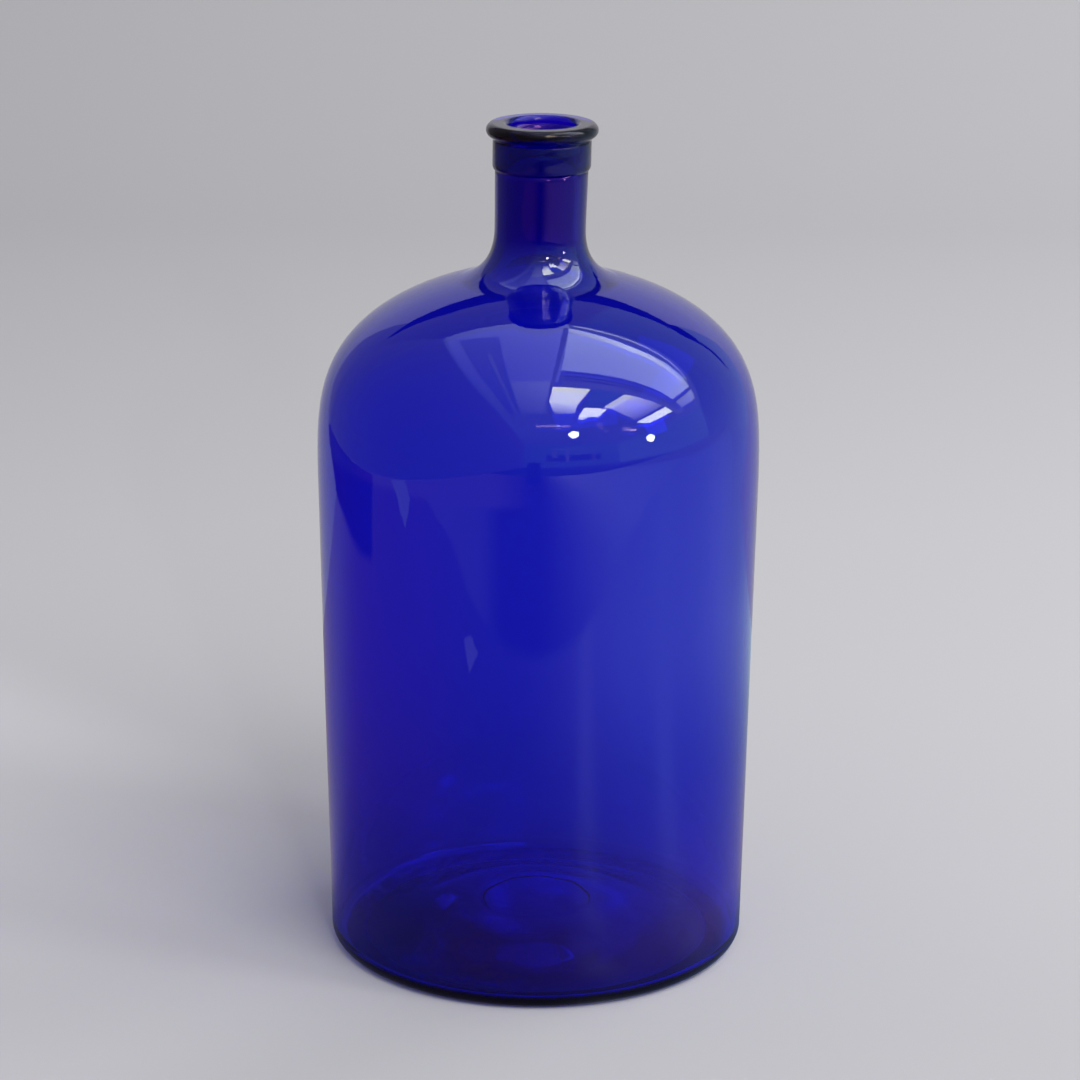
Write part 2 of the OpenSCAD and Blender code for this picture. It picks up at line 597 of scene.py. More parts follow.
@dataclass(frozen=True)
class CobaltGlass:
    """Soda-lime glass coloured with cobalt oxide and blown by mouth.

    It swallows red and green within a few millimetres and lets blue through, so a thin wall glows
    and a thick edge is nearly black.
    """

    name: str
    wall_tint: str = "#f8f8ff"
    # Painted shade: tint of the wall low down and at the left, and the reach over which it fades
    low_tint: str = "#e9e6f4"
    low_to_mm: float = 300.0
    thick_tint: str = "#4835b4"
    thick_from_mm: float = 318.0
    thick_to_mm: float = 352.0
    thick_inside: float = 0.25
    # Painted reflection: warm tint of the reflections from the upper shoulder up, fading in between
    # these heights
    smoked_shine: str = "#c47cc8"
    smoked_from_mm: float = 337.0
    smoked_to_mm: float = 350.0
    ior: float = 1.5
    pass_colour: Place = (0.245, 0.325, 0.951)
    density: float = 900.0
    polish: float = 0.0
    ripple_mm: float = 16.0
    ripple_depth_mm: float = 0.03
    base_tints: Sequence[Stop] = ((0.32, "#9490c4"), (0.56, "#d2cef0"), (0.82, "#ffffff"))
    base_reach_mm: float = 93.0
    base_top_mm: float = 40.0
    swirl_mm: float = 60.0
    streak_mm: float = 34.0
    crescent_mm: float = 23.0
    crescent_half_mm: float = 9.0
    crescent_gain: float = 0.34
    crescent_tilt: float = 1.1
    crescent_side_mm: Point = (-6.0, 18.0)
    middle_mm: Point = (28.0, 76.0)
    middle_gain: Point = (0.3, -0.14)
    rise_across: float = 1.8
    rise_along: float = 3.2

    def build(self) -> bpy.types.Material:
        """Build the material.

        Returns:
            Clear glass with its colour in its depth. Where two pieces are fused the surface
            doesn't bend light, so they read as one body of glass.
        """
        material = bpy.data.materials.new(self.name)
        add = partial(add_node, bare_tree(material))
        place = add("ShaderNodeTexCoord").outputs["Object"]
        height = add("ShaderNodeSeparateXYZ", [place]).outputs[2]
        bands = (
            (self.thick_from_mm, self.thick_to_mm),
            (self.smoked_from_mm, self.smoked_to_mm),
        )
        thick, reflection_band = (
            add(RANGE, [height, low * MM, high * MM], interpolation_type="SMOOTHSTEP")
            for low, high in bands
        )
        side, fused = (
            add("ShaderNodeAttribute", attribute_name=mark).outputs["Fac"]
            for mark in ("side", "seam")
        )
        less = add(MATH, [side, 1 - self.thick_inside], operation="MULTIPLY")
        outside = add(MATH, [1.0, less], operation="SUBTRACT")
        deep = add(MATH, [thick, outside], operation="MULTIPLY")
        # The second shade is a painted reflection: it tints the reflections warm from the upper
        # shoulder up
        shades = (
            (deep, self._base_tint(add, place), linear(self.thick_tint)),
            (reflection_band, grey(1.0), linear(self.smoked_shine)),
        )
        tint, shine = (
            add("ShaderNodeMix", {"Factor": share, "A": first, "B": last}, data_type="RGBA")
            for share, first, last in shades
        )
        lost = add(MATH, [fused, self.ior - 1.0], operation="MULTIPLY")
        bend = add(MATH, [self.ior, lost], operation="SUBTRACT")
        free = add(MATH, [1.0, fused], operation="SUBTRACT")
        grain = {"Vector": place, "Scale": 1 / (self.ripple_mm * MM), "Detail": 2.0}
        ripple = add("ShaderNodeTexNoise", grain)
        relief = {"Height": ripple, "Distance": self.ripple_depth_mm * MM, "Strength": free}
        skin = {
            "Base Color": tint,
            "Roughness": self.polish,
            "IOR": bend,
            "Specular Tint": shine,
            "Transmission Weight": 1.0,
            "Normal": add("ShaderNodeBump", relief),
        }
        surface = add("ShaderNodeBsdfPrincipled", skin)
        body = {"Color": (*self.pass_colour, 1.0), "Density": self.density}
        depth = add("ShaderNodeVolumeAbsorption", body)
        add("ShaderNodeOutputMaterial", {"Surface": surface, "Volume": depth})
        return material

    def _base_tint(self, add: AddNode, place: Socket) -> Node:
        """Tint of the wall and of the base, whose glass is dark and twisted about the pontil, with
        painted shade on the wall and painted light on the base.

        Args:
            add: Adds a node to the material.
            place: Place on the piece.

        Returns:
            The tint.
        """
        smooth = {"interpolation_type": "SMOOTHSTEP"}
        x, y, z = add("ShaderNodeSeparateXYZ", [place]).outputs
        flat = add("ShaderNodeCombineXYZ", [x, y])
        radius = add(VECTOR, [flat], operation="LENGTH")
        turns = 1 / (self.swirl_mm * MM)
        angle = add(MATH, [radius, turns], operation="MULTIPLY")
        spin = {"Vector": flat, "Center": (0.0, 0.0, 0.0), "Angle": angle}
        twisted = add("ShaderNodeVectorRotate", spin, rotation_type="Z_AXIS")
        grain = {"Scale": 1 / (self.streak_mm * MM), "Detail": 4.0, "Roughness": 0.6}
        grain |= {"Vector": twisted, "Distortion": 0.8}
        streak = add("ShaderNodeTexNoise", grain)

        # A crescent round the pontil glass, on the side away from the light
        off = add(MATH, [radius, self.crescent_mm * MM], operation="SUBTRACT")
        off = add(MATH, [off], operation="ABSOLUTE")
        band = [off, 0.0, self.crescent_half_mm * MM, self.crescent_gain, 0.0]
        ring = add(RANGE, band, **smooth)
        across = add(MATH, [x, self.crescent_tilt], operation="MULTIPLY")
        across = add(MATH, [y, across], operation="SUBTRACT")
        sided = add(RANGE, [across, *(edge * MM for edge in self.crescent_side_mm)], **smooth)
        crescent = add(MATH, [ring, sided], operation="MULTIPLY")

        # The floor is paler towards its middle, and, as painted light, towards the back and the
        # right
        middle = [radius, *(edge * MM for edge in self.middle_mm), *self.middle_gain]
        share = add(RANGE, middle, **smooth)
        rises = [
            add(MATH, [axis, slope], operation="MULTIPLY")
            for axis, slope in ((x, self.rise_across), (y, self.rise_along))
        ]
        for more in (streak, *rises, crescent):
            share = add(MATH, [share, more], operation="ADD")
        stops = [(stop, linear(tint)) for stop, tint in self.base_tints]
        swirl_and_painted_light = add("ShaderNodeValToRGB", [share], stops)
        swirl_and_painted_light.color_ramp.interpolation = "EASE"

        reach, top = self.base_reach_mm * MM, self.base_top_mm * MM
        within = add(MATH, [radius, reach], operation="LESS_THAN")
        low = add(MATH, [z, top], operation="LESS_THAN")
        base = add(MATH, [within, low], operation="MULTIPLY")
        # Painted shade: the wall is tinted darker towards the bottom and the left, standing in for
        # the shadowed floor seen through it and the light from the right
        lifted = add(MATH, [z, x], operation="ADD")
        painted_shade_share = add(RANGE, [lifted, 0.0, self.low_to_mm * MM], **smooth)
        blend = {"Factor": painted_shade_share, "A": linear(self.low_tint), "B": linear(self.wall_tint)}
        wall = add("ShaderNodeMix", blend, data_type="RGBA")
        blend = {"Factor": base, "A": wall, "B": swirl_and_painted_light}
        return add("ShaderNodeMix", blend, data_type="RGBA")


# ---------------------------------------------------------------- sub-assemblies


def dressed(piece: bpy.types.Object, slot: Slot, node: str) -> bpy.types.Object:
    """Put a finished piece on the bottle in place of its CAD solid.

    Args:
        piece: The finished piece.
        slot: The record's slot that its finish belongs to; not used.
        node: The CAD node that it stands for.

    Returns:
        The piece.
    """
    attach(piece, BODY)
    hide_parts(node)
    piece.data.calc_loop_triangles()
    LOG.info("%s: %d triangles", piece.name, len(piece.data.loop_triangles))
    return piece


@dataclass
class BlownVessel:
    """The one gather that was blown: pushed-up base, wall, shoulder and neck."""

    sizes: BottleSizes
    lathe: Lathe
    glass: bpy.types.Material
    seam_gap_mm: float = 0.02
    floor_flat_mm: float = 8.0
    wall_steps: int = 30
    kick_steps: int = 36
    sweep_steps: int = 20
    neck_steps: int = 12
    bore_steps: int = 10
    heel_steps: int = 10
    corner_steps: int = 12

    def outline(self) -> Outline:
        """The half section from under the push-up, round the outside and down the inside.

        Returns:
            The outline, with the stretches that the collar, the lip and the pontil glass cover
            marked as fused.
        """
        s, gap = self.sizes, self.seam_gap_mm
        section = Outline()
        seat = [(0.0, s.kick_h), (s.pontil_r / 2, s.kick_h), (s.pontil_r, s.kick_h)]
        section.add(seat, Face.OUTSIDE, fused=True)
        heel = (s.base_r - s.heel_r, s.heel_r)
        dome = s.outer_dome.points()
        section.add(
            [
                (s.pontil_r + gap, s.kick_h),
                *self._kick(0.0),
                *arc(heel, s.heel_r, -90, 0, self.heel_steps)[:-1],
                *straight((s.base_r, s.heel_r), dome[0], self.wall_steps),
                *dome,
                *self._sweep(dome, (s.waist_r, s.waist_z)),
                *self._neck(),
            ],
            Face.OUTSIDE,
        )
        under, cover_z = s.neck_r - gap, s.neck_end_z - gap
        covered = [(under, s.collar_z + gap), (under, s.lip_z), (under, cover_z)]
        section.add([*covered, (s.bore_r + gap, cover_z)], Face.OUTSIDE, fused=True)
        section.add(self._inside(cover_z), Face.INSIDE)
        return section

    def _kick(self, lift: float) -> list[Point]:
        """Points of the push-up from its seat to the foot.

        Args:
            lift: Height in millimetres by which all of them are raised.

        Returns:
            The points, from the seat outwards.
        """
        s, steps = self.sizes, self.kick_steps
        radii = (s.kick_seat_r + (s.kick_r - s.kick_seat_r) * i / steps for i in range(steps + 1))
        return [(r, s.kick_height(r) + lift) for r in radii]

    def _sweep(self, dome: list[Point], end: Point) -> list[Point]:
        """Points of the sweep that carries on from a dome up to that end."""
        s = self.sizes
        return sweep(dome[-1], dome[-2], end, s.sweep_low, s.sweep_high, self.sweep_steps)

    def _neck(self) -> list[Point]:
        """Points of the neck's slight flare from its waist up to the collar.

        Returns:
            The points after the waist.
        """
        s, steps = self.sizes, self.neck_steps
        flare, height = s.neck_r - s.waist_r, s.collar_z - s.waist_z
        return [
            (
                s.waist_r + flare * (1 - math.cos(math.pi * i / steps)) / 2,
                s.waist_z + height * i / steps,
            )
            for i in range(1, steps + 1)
        ]

    def _inside(self, top: float) -> list[Point]:
        """Points of the inside, from the end of the neck down to the middle of the floor.

        Args:
            top: Height of the end of the neck.

        Returns:
            The points, from the top down.
        """
        s = self.sizes
        inner_r, floor_z = s.base_r - s.body_wall, s.kick_h + s.floor_wall
        corner = (inner_r - s.floor_corner_r, s.floor_wall + s.floor_corner_r)
        dome = s.inner_dome.points()
        throat = (s.bore_r, s.inner_dome.end_z + s.throat_h)
        up = [
            (0.0, floor_z),
            (self.floor_flat_mm, floor_z),
            *self._kick(s.floor_wall),
            *arc(corner, s.floor_corner_r, -90, 0, self.corner_steps)[:-1],
            *straight((inner_r, corner[1]), dome[0], self.wall_steps),
            *dome,
            *self._sweep(dome, throat),
            *straight(throat, (s.bore_r, top), self.bore_steps)[1:],
            (s.bore_r, top),
        ]
        return up[::-1]

    def build(self) -> bpy.types.Object:
        """Turn the vessel and put it in place of the CAD solid."""
        piece = self.lathe.turn("blown_vessel", self.outline(), self.glass)
        return dressed(piece, Slot.COBALT, "vessel")


@dataclass
class TooledFinish:
    """Collar band and lip ring, laid on hot and shaped with the lipping tool."""

    sizes: BottleSizes
    lathe: Lathe
    glass: bpy.types.Material
    seam_gap_mm: float = 0.02
    groove_mm: float = 0.15
    groove_half_mm: float = 0.05
    seam_in_mm: float = 0.2
    edge_mm: float = 0.5
    edge_steps: int = 12
    bead_steps: int = 20
    top_steps: int = 6
    mouth_steps: int = 8
    bead_start_deg: float = -70.0

    def collar(self) -> bpy.types.Object:
        """Turn the collar band.

        Returns:
            The finished band.
        """
        s, gap = self.sizes, self.seam_gap_mm
        turns = [math.pi / 2 * i / self.edge_steps for i in range(self.edge_steps + 1)]
        width, under = s.collar_r - s.neck_r, s.lip_z - gap
        section = Outline()
        section.add(
            [
                (s.neck_r + width * math.sin(t), s.collar_z + s.collar_edge_h * (1 - math.cos(t)))
                for t in turns
            ],
            Face.OUTSIDE,
        )
        groove = (s.collar_r - self.groove_mm, s.lip_z - self.groove_half_mm)
        section.add([(s.collar_r, s.lip_z - self.edge_mm), groove], Face.OUTSIDE)
        fused = [(s.collar_r - self.seam_in_mm, under), (s.neck_r, under)]
        fused += [(s.neck_r, s.lip_z - s.collar_h / 2), (s.neck_r, s.collar_z + gap)]
        section.add(fused, Face.OUTSIDE, fused=True)
        section.add([(s.neck_r, s.collar_z)], Face.OUTSIDE)
        piece = self.lathe.turn("tooled_collar", section, self.glass)
        return dressed(piece, Slot.DARK_COBALT, "collar_band")

    def lip(self) -> bpy.types.Object:
        """Turn the lip ring.

        Returns:
            The finished ring.
        """
        s, gap = self.sizes, self.seam_gap_mm
        bead = (s.lip_r - s.bead_r, s.top_z - s.bead_r)
        mouth = (s.bore_r + s.mouth_edge_r, s.top_z - s.mouth_edge_r)
        groove = (s.collar_r - self.groove_mm, s.lip_z + self.groove_half_mm)
        section = Outline()
        section.add(
            [
                groove,
                *arc(bead, s.bead_r, self.bead_start_deg, 90, self.bead_steps),
                *straight((bead[0], s.top_z), (mouth[0], s.top_z), self.top_steps)[1:],
                *arc(mouth, s.mouth_edge_r, 90, 180, self.mouth_steps),
            ],
            Face.OUTSIDE,
        )
        section.add([(s.bore_r, s.neck_end_z + gap)], Face.INSIDE)
        fused = [(s.bore_r + gap, s.neck_end_z), (s.neck_r, s.neck_end_z)]
        fused += [(s.neck_r, s.lip_z), (s.collar_r - self.seam_in_mm, s.lip_z)]
        section.add(fused, Face.OUTSIDE, fused=True)
        section.add([groove], Face.OUTSIDE)
        piece = self.lathe.turn("tooled_lip", section, self.glass)
        return dressed(piece, Slot.DARK_COBALT, "lip_ring")


@dataclass
class PontilScar:
    """Glass that the pontil iron left under the push-up when it was cracked off."""

    sizes: BottleSizes
    lathe: Lathe
    glass: bpy.types.Material
    ring_at: float = 0.62
    steps: int = 20
    seam_gap_mm: float = 0.02
    ragged: float = 0.96
    worn: float = 0.12
    rim: float = 0.1

    def depth(self, share: float) -> float:
        """Depth of the glass at a share of its radius.

        Args:
            share: Share of the radius, from 0 to 1.

        Returns:
            Depth in millimetres below the seat.
        """
        s = self.sizes
        if share < self.ring_at:
            hollow = (1 + math.cos(math.pi * share / self.ring_at)) / 2
            return self.worn * (s.pontil_h - s.pontil_dish * hollow)
        fall = (1 + math.cos(math.pi * (share - self.ring_at) / (1 - self.ring_at))) / 2
        return self.worn * s.pontil_h * (self.rim + (1 - self.rim) * fall)

    def build(self) -> bpy.types.Object:
        """Turn the pontil glass.

        Returns:
            The finished glass.
        """
        s = self.sizes
        top, reach = s.kick_h - self.seam_gap_mm, s.pontil_r * self.ragged
        shares = [i / self.steps for i in range(self.steps + 1)]
        section = Outline()
        worn = [(reach * share, s.kick_h - self.depth(share)) for share in shares]
        section.add(worn, Face.OUTSIDE)
        section.add([(reach, top), (reach / 2, top), (0.0, top)], Face.OUTSIDE, fused=True)
        piece = self.lathe.turn("pontil_glass", section, self.glass)
        return dressed(piece, Slot.COBALT, "pontil_scar")


# ---------------------------------------------------------------- mirrored room

CEILING_Z = 2.4

# Tints of the room's cards
PLAIN, SKY, DAYLIGHT, PINK, COOL, WHITE = (
    "#eef8ff", "#c8d0ff", "#f4f8d6", "#ffdfe4", "#e4f0ff", "#f2eef6"
)

# Panels of the ceiling: layer, tint, brightness at each corner and place of each corner in plan
CEILING_PANELS = (
    (1, SKY, (1.25, 2.2, 1.9, 0.9), (-1.1, 1.1), (0.3, 1.1), (0.3, -0.8), (-1.1, -0.8)),
    (1, PLAIN, (0.6, 1.9, 0.8, 0.5), (-1.1, -0.8), (0.2, -0.8), (0.2, -2.6), (-1.1, -2.6)),
    (2, SKY, (0.85, 0.95, 0.6, 0.5), (-0.92, 0.85), (-0.42, 0.7), (-0.5, -2.6), (-0.85, -2.6)),
    (3, PLAIN, (0.8, 0.8, 0.6, 0.6), (-0.62, 0.2), (-0.56, 0.2), (-0.58, -2.6), (-0.64, -2.6)),
    (1, "#e6f4f4", (3.5, 4.7, 4.6, 3.3), (0.3, 0.8), (3.85, 0.8), (3.85, -0.38), (0.3, -0.38)),
    (1, PLAIN, (3.2, 3.0, 2.0, 2.6), (4.2, 0.8), (5.6, 0.8), (5.6, -0.4), (4.3, -0.4)),
    (2, PLAIN, (4.0, 7.0, 7.0, 3.6), (0.3, 0.96), (1.1, 0.8), (1.1, 0.64), (0.3, 0.82)),
    (2, PLAIN, (7.0, 5.5, 5.5, 7.0), (1.1, 0.8), (3.2, 0.66), (3.2, 0.54), (1.1, 0.64)),
    (2, PLAIN, (3.2, 3.0, 3.0, 3.2), (0.35, 1.08), (3.4, 0.9), (3.4, 0.84), (0.35, 1.03)),
    (2, PLAIN, (0.85, 0.95, 1.1, 0.85), (0.34, -0.38), (6.5, -0.38), (6.5, -1), (0.34, -1)),
    (2, "#f4f8c0", (12.5, 11, 11.5, 10), (0.21, -1), (0.93, -1.02), (0.9, -1.9), (0.22, -1.8)),
    (2, DAYLIGHT, (9.0, 9.5, 3.5, 1.2), (0.22, -1.8), (0.9, -1.9), (1.0, -2.5), (0.45, -2.6)),
    (3, "#b8e8ff", (0.85, 1, 0.85, 0.85), (0.95, -1), (1.78, -1), (1.64, -1.95), (1.1, -1.98)),
    (2, DAYLIGHT, (8.0, 9.0, 8.0, 9.0), (1.78, -1.02), (2.1, -1.0), (2.0, -2.0), (1.6, -1.9)),
    (2, "#f4f4ff", (7.0, 1.9, 1.2, 5.0), (2.1, -1.0), (3.9, -1.0), (3.9, -2.8), (2.0, -2.0)),
    (3, DAYLIGHT, (14, 14, 13, 13), (1.12, -2.02), (1.82, -2.0), (1.88, -2.72), (1.2, -2.8)),
    (3, DAYLIGHT, (12, 12, 10, 10), (1.2, -2.8), (1.5, -2.76), (1.46, -3.05), (1.25, -3.0)),
    (3, DAYLIGHT, (13, 13, 13, 13), (4.15, -1.0), (5.3, -1.05), (5.4, -2.9), (4.2, -3.05)),
    (3, PINK, (3.2, 3.4, 3.4, 3.2), (-0.1, -3.8), (1.2, -3.78), (1.2, -4.02), (-0.1, -4.06)),
    (4, PLAIN, (8, 8, 8, 8), (0.7, -3.78), (0.78, -3.78), (0.78, -4.05), (0.7, -4.05)),
    (3, PINK, (3.6, 2.4, 2.0, 3.2), (4.1, -3.8), (4.6, -3.75), (4.7, -4.05), (4.1, -4.1)),
    (3, PINK, (4.0, 9.0, 9.0, 3.0), (4.4, -4.2), (5.6, -4.05), (5.6, -4.4), (4.5, -4.55)),
)


@dataclass(frozen=True)
class Card:
    """Flat panel of the room that only mirrored light sees.

    Corners run round the panel, and each has its own brightness.
    """

    corners: Sequence[Place]
    levels: Sequence[float]
    tint: str = PLAIN

    @classmethod
    def overhead(
        cls, layer: int, tint: str, levels: Sequence[float], corners: Sequence[Point]
    ) -> "Card":
        """Card that lies flat under the ceiling.

        Args:
            layer: How many card depths it hangs below the ceiling.
            tint: Its colour.
            levels: Brightness at each corner.
            corners: Place of each corner in plan.

        Returns:
            The card.
        """
        height = CEILING_Z - 0.01 * layer
        return cls([(x, y, height) for x, y in corners], levels, tint)

    @classmethod
    def standing(
        cls, first: Point, last: Point, rise: Point, levels: Sequence[float], tint: str
    ) -> "Card":
        """Upright card.

        Args:
            first: Place of its first end in plan.
            last: Place of its last end in plan.
            rise: Height of its lower and of its upper edge.
            levels: Brightness at each corner, the lower ones first.
            tint: Its colour.

        Returns:
            The card.
        """
        low, high = rise
        return cls([(*first, low), (*last, low), (*last, high), (*first, high)], levels, tint)


@dataclass(frozen=True)
class CardGlow:
    """Even glow whose brightness and colour lie in the mesh."""

    name: str

    def build(self) -> bpy.types.Material:
        """Build the material.

        Returns:
            The glow, which lights nothing but what mirrors it.
        """
        material = bpy.data.materials.new(self.name)
        add = partial(add_node, bare_tree(material))
        glow = add("ShaderNodeAttribute", attribute_name="glow").outputs["Color"]
        surface = add("ShaderNodeEmission", {"Color": glow, "Strength": 1.0})
        add("ShaderNodeOutputMaterial", {"Surface": surface})
        material.cycles.emission_sampling = "NONE"
        return material


@dataclass
class CardStack:
    """One object made of many cards, which glows and is seen in the glass alone."""

    name: str
    seen_through: bool = False
    gain: float = 1.0
    steps: int = 6
    vertices: list[Place] = field(default_factory=list)
    faces: list[tuple[int, int, int, int]] = field(default_factory=list)
    glows: list[Colour] = field(default_factory=list)

    def net(self, across: int, along: int) -> None:
        """Join the last points laid, row by row, into a net of faces.

        Args:
            across: Number of faces across.
            along: Number of faces along a row.
        """
        start = len(self.vertices) - (across + 1) * (along + 1)
        for i in range(across):
            for j in range(along):
                corner = start + i * (along + 1) + j
                self.faces.append((corner, corner + 1, corner + along + 2, corner + along + 1))

    def lay(self, *cards: Card) -> None:
        """Add cards, split so that their brightness runs smoothly from corner to corner.

        Args:
            *cards: The cards.
        """
        places = [(i / self.steps, j / self.steps) for i, j in grid(self.steps, self.steps)]
        for card in cards:
            corners = [Vector(corner) for corner in card.corners]
            red, green, blue, _ = linear(card.tint)
            for u, v in places:
                shares = ((1 - u) * (1 - v), u * (1 - v), u * v, (1 - u) * v)
                place = sum((c * s for c, s in zip(corners, shares)), Vector())
                level = self.gain * sum(c * s for c, s in zip(card.levels, shares))
                self.vertices.append(tuple(place))
                self.glows.append((red * level, green * level, blue * level, 1.0))
            self.net(self.steps, self.steps)

    def lamp(self, azimuth: float, elevation: float, reach: float) -> None:
        """Add a round bare lamp that faces the bottle.

        Args:
            azimuth: Direction in degrees, from the front towards the right.
            elevation: Height in degrees, as the shoulder sees it.
            reach: Distance in metres.
        """
        radius, level, shoulder_z = 0.2, 34.0, 0.3
        a, e = math.radians(azimuth), math.radians(elevation)
        toward = Vector((math.sin(a) * math.cos(e), -math.cos(a) * math.cos(e), math.sin(e)))
        centre = Vector((0.0, 0.0, shoulder_z)) + toward * reach
        across = toward.cross(Vector((0, 0, 1))).normalized()
        above = across.cross(toward)
        turns = [math.radians(22.5 + 45 * i) for i in range(8)]
        rim = [tuple(centre + (across * math.cos(t) + above * math.sin(t)) * radius) for t in turns]
        for four in ((0, 1, 2, 3), (0, 3, 4, 7), (7, 4, 5, 6)):
            self.lay(Card([rim[i] for i in four], [level] * 4))

    def build(self) -> bpy.types.Object:
        """Make the stack and hide it from everything but the glass.

        Returns:
            The stack's object.
        """
        mesh = bpy.data.meshes.new(self.name)
        mesh.from_pydata(self.vertices, [], self.faces)
        glow = mesh.attributes.new("glow", "FLOAT_COLOR", "POINT")
        glow.data.foreach_set("color", [value for colour in self.glows for value in colour])
        mesh.materials.append(CardGlow(self.name + "_glow").build())
        stack = placed(self.name, mesh)
        stack.visible_camera = False
        stack.visible_diffuse = False
        stack.visible_shadow = False
        stack.visible_transmission = self.seen_through
        stack.visible_volume_scatter = False
        return stack


@dataclass
class GatheredLight:
    """Light that the glass gathers under the push-up, as a glowing cap just below it."""

    sizes: BottleSizes
    reach_mm: float = 83.0
    drop_mm: float = 1.7
    lowest_mm: float = 0.1
    warmth: float = 0.4
    dimmest: float = 0.06
    brightest_mm: Point = (5.0, 32.0)
    heart_mm: Point = (-18.0, 3.0)
    rings: int = 42
    spokes: int = 144
    # Middle and half width in degrees, radius and half thickness in millimetres, and brightness
    crescents: Sequence[tuple[float, float, float, float, float]] = (
        (84.0, 46.0, 32.0, 4.0, 0.16),
        (8.0, 26.0, 37.0, 4.5, 0.22),
        (52.0, 40.0, 16.0, 4.0, 0.16),
        (236.0, 26.0, 33.0, 4.5, 0.14),
        (120.0, 24.0, 33.0, 6.0, -0.12),
    )

    def level(self, x: float, y: float) -> float:
        """Brightness of the light under one place.

        It is strongest behind the middle and to the right, with a streaky heart at the left of
        the pontil glass and ragged crescents that curl away from it.

        Args:
            x: Place across in millimetres.
            y: Place along in millimetres.

        Returns:
            Brightness.
        """
        radius, turn = math.hypot(x, y), math.degrees(math.atan2(y, x))
        level = 0.2 + 0.0027 * x + 0.001 * y
        level -= 0.2 / (1 + math.exp((60 - x) / 5))
        level += 0.17 * bell(math.dist((x, y), self.brightest_mm), 38.0)
        ragged = 2.4 * math.sin(math.radians(3 * turn + 40))
        ragged += 1.6 * math.sin(math.radians(8 * turn))
        for centre, width, ring, thick, gain in self.crescents:
            off = (turn - centre + 180.0) % 360.0 - 180.0
            level += gain * bell(off, width) * bell(radius - ring - ragged, thick)
        heart_x, heart_y = self.heart_mm
        heart = bell(x - heart_x + 0.12 * y, 5.5) * bell(y - heart_y, 27.0)
        level += 0.34 * heart * (0.75 + 0.25 * math.sin(0.9 * y + 0.6 * x))
        return max(self.dimmest, level)

    def build(self) -> bpy.types.Object:
        """Lay the cap as a round net.

        Returns:
            The cap's object.
        """
        light = CardStack("gathered_light", seen_through=True)
        for i, j in grid(self.spokes, self.rings):
            radius, turn = self.reach_mm * j / self.rings, 2 * math.pi * i / self.spokes
            x, y = radius * math.cos(turn), radius * math.sin(turn)
            z = max(self.lowest_mm, self.sizes.kick_height(radius) - self.drop_mm)
            level = self.level(x, y)
            light.vertices.append((x * MM, y * MM, z * MM))
            light.glows.append((self.warmth * level, self.warmth * level, level, 1.0))
        light.net(self.spokes, self.rings)
        cap = light.build()
        cap.visible_glossy = False
        return cap


